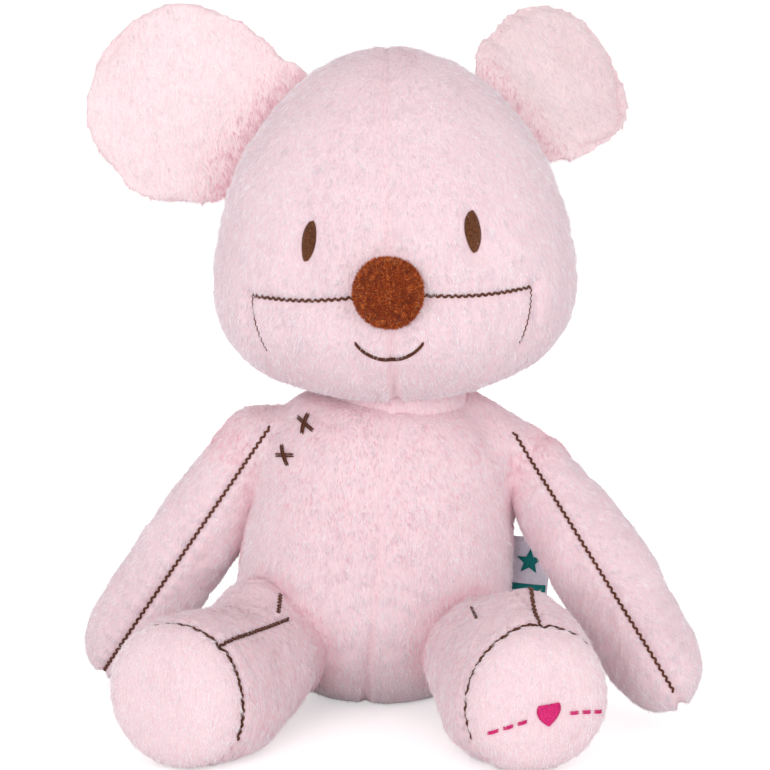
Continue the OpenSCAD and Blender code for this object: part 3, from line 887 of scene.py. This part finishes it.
# seams that carry brown zigzag thread
head_at = head_frame()
lines = {}
face = trees["head_skin"]
for s in (-1, 1):
    x = np.linspace(12 if s > 0 else -14.5, 66 * s, 40)
    path = put(np.stack([x, 0 * x - 120, muzzle_level(x)], 1), head_at)
    lines.setdefault("muzzle", []).append(zigzag(face, path, head_at[1][:, 1]))
    down = np.linspace(0, 1, 14)
    dx = s * (66.2 - 6.2 * down ** 2.2)
    path = put(np.stack([dx, 0 * dx - 120, MUZZLE - 27 * down], 1), head_at)
    lines.setdefault("dart", []).append(zigzag(face, path, head_at[1][:, 1], 2.8, 0.35, 0.2))


def round_limb(where, angle, z, r=60.0):
    """Points off a limb at an angle round it, and the directions from them to its axis."""
    angle = np.broadcast_to(angle, np.shape(z))
    out = np.stack([np.cos(angle), np.sin(angle), 0 * z], 1)
    return put(out * r + np.outer(z, [0, 0, 1]), where), -out @ where[1].T


def towards(points):
    """Points in front of the toy and the directions from them to the given points."""
    d = unit(np.asarray(points, float) - VIEW_FROM)
    return VIEW_FROM + d * 1080, d


for side in (LEFT, RIGHT):
    where = arm_frame(side)
    z = np.linspace((-17, -9)[side], 141, 90)
    on_arm = tree(arms[side], torso_ob)
    lines[f"arm_{SIDES[side]}"] = [zigzag(on_arm, *round_limb(where, ARM_SEAM[side], z, 34))]
    where = leg_frame(side)
    on_leg = tree(legs[side], torso_ob)
    z = np.linspace((27, 34)[side], SOLE - 1, 50)
    turn = math.pi + LEG_SEAM[side] - (0.0, 0.35)[side] * smooth(SOLE, 24, z)
    stub = resample(np.array(STUBS[side]), 1.0)[0]
    lines[f"leg_{SIDES[side]}"] = [zigzag(on_leg, *round_limb(where, turn, z)),
                                   zigzag(on_leg, *towards(stub), reach=(0.7, 0.3)[side], lift=1.2)]
    a = np.radians(np.linspace(58, 302, 120))
    on_leg = trees[f"leg_{SIDES[side]}_skin"]
    lines[f"sole_{SIDES[side]}"] = [zigzag(on_leg, *round_limb(where, a, 0 * a + SOLE))]


def eye(i):
    """An embroidered eye: satin thread laid across a long oval."""
    ex, ez, w, h, lean = EYES[i]
    a = math.radians(lean)
    rows = []
    for t in np.linspace(-1, 1, 31):
        half = w / 2 * math.sqrt(max(0.0, 1 - abs(t) ** (2.0 if t > 0 else 1.55)))
        if half < 0.5:
            continue
        u = np.linspace(-half, half, 7)
        z = t * h / 2 + 0.5 * np.sin(u)
        x2, z2 = u * math.cos(a) + z * math.sin(a), -u * math.sin(a) + z * math.cos(a)
        hit = []
        for k in range(len(u)):
            p, n = from_front(face, ex + x2[k], ez + z2[k])
            bulge = 0.9 * (1 - (u[k] / half) ** 2) * math.sqrt(max(0.05, 1 - t * t)) + 0.25
            hit.append(p + n * bulge)
        rows.append(np.array(hit))
        no_pile_at(hit)
    return rows


lines["eyes"] = [eye(0), eye(1)]

# a small centred smile in back stitch
t = np.radians(np.linspace(213, 327, 40))
sx, sz = 12 + 19 * np.cos(t), 199.5 + 18.5 * np.sin(t)
curve = []
for x, z in zip(sx, sz):
    p, n = from_front(face, x, z)
    curve.append(p + n * 0.45)
curve, _ = resample(curve, 0.7)
no_pile_at(curve)
smile_rows = [curve, curve + np.array([0, 0.1, -0.75])]

# cross stitches on the chest
cross_rows = []
body = trees["torso_skin"]
for cx, cz, turn in CROSSES:
    for k, a in enumerate((turn, turn + 78)):
        a = math.radians(a)
        for off in (-0.5, 0.5):
            row = []
            for u in np.linspace(-4.7, 4.7, 11):
                x = cx + u * math.cos(a) - off * math.sin(a)
                z = cz - u * math.sin(a) - off * math.cos(a)
                p, n = from_front(body, x, z)
                row.append(p + n * (0.15 + (0.6 + 0.5 * k) * (1 - (u / 4.9) ** 2)))
            cross_rows.append(np.array(row))
            no_pile_at(row)

# the motif on the sole: a satin-stitched heart and a dash at each side
origin, turn = leg_frame(RIGHT)
forward = turn @ np.array([0, 0, 1.0])
across = unit(np.cross(forward, [0, 0, 1.0]))
if across[0] < 0:
    across = -across
upward = np.cross(across, forward)
if upward[2] < 0:
    upward = -upward
sole_tree = trees["leg_right_skin"]


def sole_point(a, b, lift):
    start = origin + forward * 157 + across * a + upward * b
    p, n, _, _ = sole_tree.ray_cast(Vector(start), Vector(-forward))
    return np.array(p) + np.array(n) * lift


def satin(across_at, level, middle, half, low):
    """One raised stitch on the sole, humped between its ends."""
    return np.array([sole_point(x, level(x), low + 0.7 * (1 - ((x - middle) / half) ** 2)) for x in across_at])


motif_rows = []
for b in np.arange(-6.0, 5.2, 0.62):
    xs = np.linspace(-8, 8, 161)
    inside = ((xs / 6.2) ** 2 + (b / 6.2) ** 2 - 0.62) ** 3 - (xs / 6.2) ** 2 * (b / 6.2) ** 3 < 0
    idx = np.nonzero(inside)[0]
    if len(idx) < 4:
        continue
    for run in np.split(idx, np.nonzero(np.diff(idx) > 1)[0] + 1):
        x0, x1 = xs[run[0]], xs[run[-1]]
        if x1 - x0 > 0.8:
            motif_rows.append(satin(np.linspace(x0, x1, 9), lambda x: b - 4 + 0.12 * x,
                                    (x0 + x1) / 2, (x1 - x0) / 2 + 0.1, 0.3))
for s in (-1, 1):
    for k in range(3):
        for off in (-0.45, 0.45):
            u = np.linspace(10 + k * 6.2, 14.2 + k * 6.2, 7) * s
            motif_rows.append(satin(u, lambda x: -4 + off + 0.12 * x - 0.006 * x * x,
                                    s * (12.1 + k * 6.2), 2.3, 0.2))
for r in motif_rows:
    no_pile_at(r)

thread_tree = KDTree(len(THREAD_POINTS))
for i, q in enumerate(THREAD_POINTS):
    thread_tree.insert(Vector(q), i)
thread_tree.balance()


def on(body):
    return lambda o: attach(o, body)


def with_neck(o):
    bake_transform(o)


def with_head(o):
    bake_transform(o)


def with_arm():
    return lambda o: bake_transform(o)


def with_leg():
    return lambda o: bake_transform(o)


def with_ear():
    return lambda o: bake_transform(o)


def declare(o, move, slot, *replaced):
    """Says what a piece moves with, and hides the CAD nodes that it stands for; slot is not used."""
    move(o)
    if replaced:
        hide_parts(*replaced)


def along(direction):
    return lambda p, n: np.tile(np.asarray(direction, float), (len(p), 1))


down = along([0.05, 0, -1])


def head_nap(p, n):
    q = p - HEAD
    return np.stack([0.34 * np.tanh(q[:, 0] / 18), q[:, 1] * 0.003, np.full(len(p), -1.0)], 1)


def near(others, reach, most=0.75, least=0.0):
    """Painted shade: the share of fibres that take the rosy tint at each point, from least to most as it nears
    other skins, where the joins lie in shade.
    """
    bvh = tree(*others)
    return lambda p: least + (most - least) * smooth(
        reach, 1.0, np.array([bvh.find_nearest(Vector(q))[3] for q in p]))


# painted shade at the joins: each pile turns rosy near the skins it meets; the torso also grows rosier towards
# the top of the chest, and the legs keep a fifth of rosy fibres all over
join_shade = near([head_ob, *arms, *legs], 11)
pile("torso_pile", torso_ob, on("torso"), "pink_plush", down, pile_pink, 11, hide=(head_ob, *arms, *legs),
     painted_shade=lambda p: np.maximum(join_shade(p), 0.22 * smooth(70, 112, p[:, 2])))
pile("head_pile", head_ob, with_head, "pink_plush", head_nap, pile_pink, 12, hide=(torso_ob,),
     painted_shade=near(ears, 6))
pile("neck_pile", neck_ob, with_neck, "pink_plush", down, pile_pink, 24, hide=(head_ob, torso_ob), length=3.0,
     painted_shade=near([head_ob, torso_ob], 4, 0.35))
for side in (LEFT, RIGHT):
    s, at = SIDES[side], leg_frame(side)
    on_sole = lambda p, n, at=at: local(p, at)[:, 2] > SOLE
    pile(f"arm_{s}_pile", arms[side], with_arm(), "pink_plush", along(arm_frame(side)[1][:, 2]), pile_pink,
         13 + side, hide=(torso_ob,), painted_shade=near([torso_ob], 8))
    pile(f"leg_{s}_pile", legs[side], with_leg(), "pink_plush", along(0.5 * at[1][:, 2] + [0, 0.1, -1.0]),
         pile_pink, 15 + side, hide=(torso_ob,), painted_shade=near([torso_ob], 14, 0.75, 0.2),
         keep=lambda p, n, f=on_sole: ~f(p, n))
    pile(f"sole_{s}_pile", legs[side], on(f"leg_{s}"), "pale_plush", down, pile_pale, 17 + side, keep=on_sole,
         length=3.4, painted_shade=lambda p: np.zeros(len(p)))
    pile(f"ear_{s}_pile", ears[side], with_ear(), "pale_plush", along([(0.25, -0.3)[side], 0, -1]),
         pile_pale, 19 + side, hide=(head_ob,), painted_shade=near([head_ob], 23, 1.0))


def out_of_face(p, n):
    return np.stack([noise3(p, 1.3, 31), noise3(p, 1.3, 32) - 0.2, noise3(p, 1.3, 33)], 1)


pile("nose_pile", nose_ob, on("head"), "nose_plush", out_of_face, pile_nose, 23, density=3.6, length=2.0,
     width=0.5, lift=(25, 80), jitter=40, hide=(head_ob,))

# skins: declared, standing for their CAD solids
for side in (LEFT, RIGHT):
    n = SIDES[side]
    declare(arms[side], with_arm(), "pink_plush", *(f"arm_{n}_{x}" for x in ("outer", "inner", "stuffing")))
    declare(legs[side], with_leg(), "pink_plush",
            *(f"leg_{n}_{x}" for x in ("outer", "inner", "sole", "stuffing")))
    declare(ears[side], with_ear(), "pale_plush",
            *(f"ear_{n}_{x}" for x in ("front", "back", "wadding", "seam")))
declare(torso_ob, on("torso"), "pink_plush", "torso_front_left", "torso_front_right", "torso_back_left",
        "torso_back_right", "torso_seat", "torso_stuffing", "pellet_bag")
declare(head_ob, with_head, "pink_plush", "head_crown_left", "head_crown_right", "head_back_left",
        "head_back_right", "muzzle_left", "muzzle_right", "head_stuffing")
declare(neck_ob, with_neck, "pink_plush", "neck_stuffing", "neck_band", "neck_stitching")
declare(nose_ob, on("head"), "nose_plush", "nose_cover", "nose_filling")


# threads
def sewn(name, rows, radius, move, *replaced, material=thread_brown, slot="brown_thread"):
    declare(tubes(name, rows, radius, material), move, slot, *replaced)


sewn("muzzle_thread", lines["muzzle"], THREAD, with_head, "muzzle_stitching")
sewn("muzzle_side_thread", lines["dart"], 0.28, with_head)
for side in (LEFT, RIGHT):
    n = SIDES[side]
    sewn(f"arm_{n}_thread", lines[f"arm_{n}"], THREAD, with_arm(), f"arm_{n}_stitching")
    sewn(f"leg_{n}_thread", lines[f"leg_{n}"], THREAD, with_leg(), f"leg_{n}_stitching")
    sewn(f"sole_{n}_thread", lines[f"sole_{n}"], THREAD, on(f"leg_{n}"), f"sole_{n}_stitching")
    sewn(f"eye_{n}_thread", lines["eyes"][side], 0.44, on("head"), f"eye_{n}", material=thread_eye,
         slot="eye_thread")
sewn("smile_thread", smile_rows, 0.5, on("head"), "smile")
sewn("chest_crosses", cross_rows, 0.5, on("torso"), "cross_stitches")
sewn("sole_motif_thread", motif_rows, 0.4, on("leg_right"), "sole_motif", material=thread_motif,
     slot="motif_thread")


# label: a folded ribbon standing out of the side seam, with a woven band and a star
def label_line():
    out = [(-1.0, -0.5), (4, -1.3), (9, -1.6), (14, -1.7), (17, -1.6)]
    out += [(17 + 1.6 * math.sin(a), -1.6 * math.cos(a)) for a in np.radians(np.linspace(15, 165, 9))]
    out += [(17, 1.6), (14, 1.7), (9, 1.6), (4, 1.3), (-1.0, 0.5)]
    return np.array(out)


def label_bend(p):
    p = np.array(p, float)
    p[:, 1] += 0.0072 * (p[:, 0] - 9) ** 2 + 0.9 * np.sin(p[:, 2] / 30 * math.pi)
    return put(p, (np.array(LABEL), rot("y", 5)))


def ribbon_strip(name, path, z0, z1, thick, material, rows=13):
    tangent = unit(np.gradient(path, axis=0))
    nor = np.stack([tangent[:, 1], -tangent[:, 0]], 1)
    loop = np.vstack([path + nor * thick / 2, (path - nor * thick / 2)[::-1]])
    rings = np.array([np.column_stack([loop, np.full(len(loop), z)]) for z in np.linspace(z0, z1, rows)])
    rings = label_bend(rings.reshape(-1, 3)).reshape(rings.shape)
    k = len(path)
    cols = 2 * k
    v = rings.reshape(-1, 3)
    f = grid_faces(rows, cols).tolist()
    for base, flip in ((0, True), ((rows - 1) * cols, False)):
        for i in range(k - 1):
            q = [base + i, base + i + 1, base + cols - 2 - i, base + cols - 1 - i]
            f.append(q[::-1] if flip else q)
    return make(name, v, np.array(f), material)


path = label_line()
at = np.linspace(0, len(path) - 1, 61)
fine = np.stack([np.interp(at, np.arange(len(path)), path[:, i]) for i in range(2)], 1)
label = ribbon_strip("label_ribbon", fine, 0.3, 29.7, 0.45, ribbon)
declare(label, on("label"), "label_ribbon", "side_label")
at = np.linspace(0.5, 17.6, 20)
band_path = np.stack([at, np.interp(at, path[:5, 0], path[:5, 1]) - 0.3], 1)
band = ribbon_strip("label_band", band_path, 2.4, 6.0, 0.2, ribbon_teal, 4)
declare(band, on("label"), "label_ribbon")


def star():
    rim = []
    for k in range(10):
        r = 6.8 if k % 2 == 0 else 3.0
        a = math.radians(90 + 36 * k)
        rim.append((STAR[0] + r * math.cos(a), STAR[1] + r * math.sin(a)))
    v, f = [], []
    for depth in (-0.85, -0.25):
        for x, z in rim + [STAR]:
            v.append((x, np.interp(x, path[:5, 0], path[:5, 1]) + depth, z))
    for k in range(10):
        j = (k + 1) % 10
        f += [[10, j, k], [21, 11 + k, 11 + j], [k, j, 11 + j], [k, 11 + j, 11 + k]]
    return make("label_star", label_bend(v), np.array(f), ribbon_teal)


st = star()
declare(st, on("label"), "label_ribbon")

# ---------------------------------------------------------------- floor, light, camera
floor = make("floor", [[-4000, -4000, 0], [4000, -4000, 0], [4000, 4000, 0], [-4000, 4000, 0]], [[0, 1, 2, 3]],
             plain("floor_white", (0.97, 0.97, 0.97, 1), rough=0.8))


def strength(t, socket, light, extra):
    """Sets a strength to light, with extra on top where the camera looks straight at it."""
    seen, total = t.nodes.new("ShaderNodeLightPath"), t.nodes.new("ShaderNodeMath")
    total.operation = "MULTIPLY_ADD"
    total.inputs[1].default_value, total.inputs[2].default_value = extra, light
    t.links.new(seen.outputs["Is Camera Ray"], total.inputs[0])
    t.links.new(total.outputs[0], socket)


paper = floor.data.materials[0].node_tree
paper_look = paper.nodes["Principled BSDF"].inputs
paper_look["Emission Color"].default_value = (1, 1, 1, 1)
strength(paper, paper_look["Emission Strength"], 0.0, 0.46)
world = bpy.data.worlds.new("studio")
scene.world = world
world.use_nodes = True
sky = world.node_tree.nodes["Background"].inputs
sky["Color"].default_value = (1, 0.99, 0.985, 1)
strength(world.node_tree, sky["Strength"], 0.63, 0.42)


def area(name, where, target, size, power):
    data = bpy.data.lights.new(name, "AREA")
    data.size, data.energy = size, power
    o = bpy.data.objects.new(name, data)
    o.location = where
    o.rotation_euler = (Vector(target) - Vector(where)).to_track_quat("-Z", "Y").to_euler()
    scene.collection.objects.link(o)


area("key", (-0.75, -1.9, 0.6), (0, 0, 0.14), 1.1, 15)
area("fill", (1.2, -1.6, 0.4), (0, 0, 0.1), 1.2, 10)
area("back", (0.4, 2.0, 0.8), (0, 0, 0.16), 1.4, 10)

cam_data = bpy.data.cameras.new("camera")
cam = bpy.data.objects.new("camera", cam_data)
scene.collection.objects.link(cam)
scene.camera = cam
cam_data.lens, cam_data.sensor_width = 116.9, 36
elevation = math.radians(8)
target = Vector((0.010, 0, 0.1574))
back = Vector((0, -math.cos(elevation), math.sin(elevation)))
cam.location = target + back * 1.25
cam.rotation_euler = (-back).to_track_quat("-Z", "Y").to_euler()
cam_data.clip_start, cam_data.clip_end = 0.05, 20
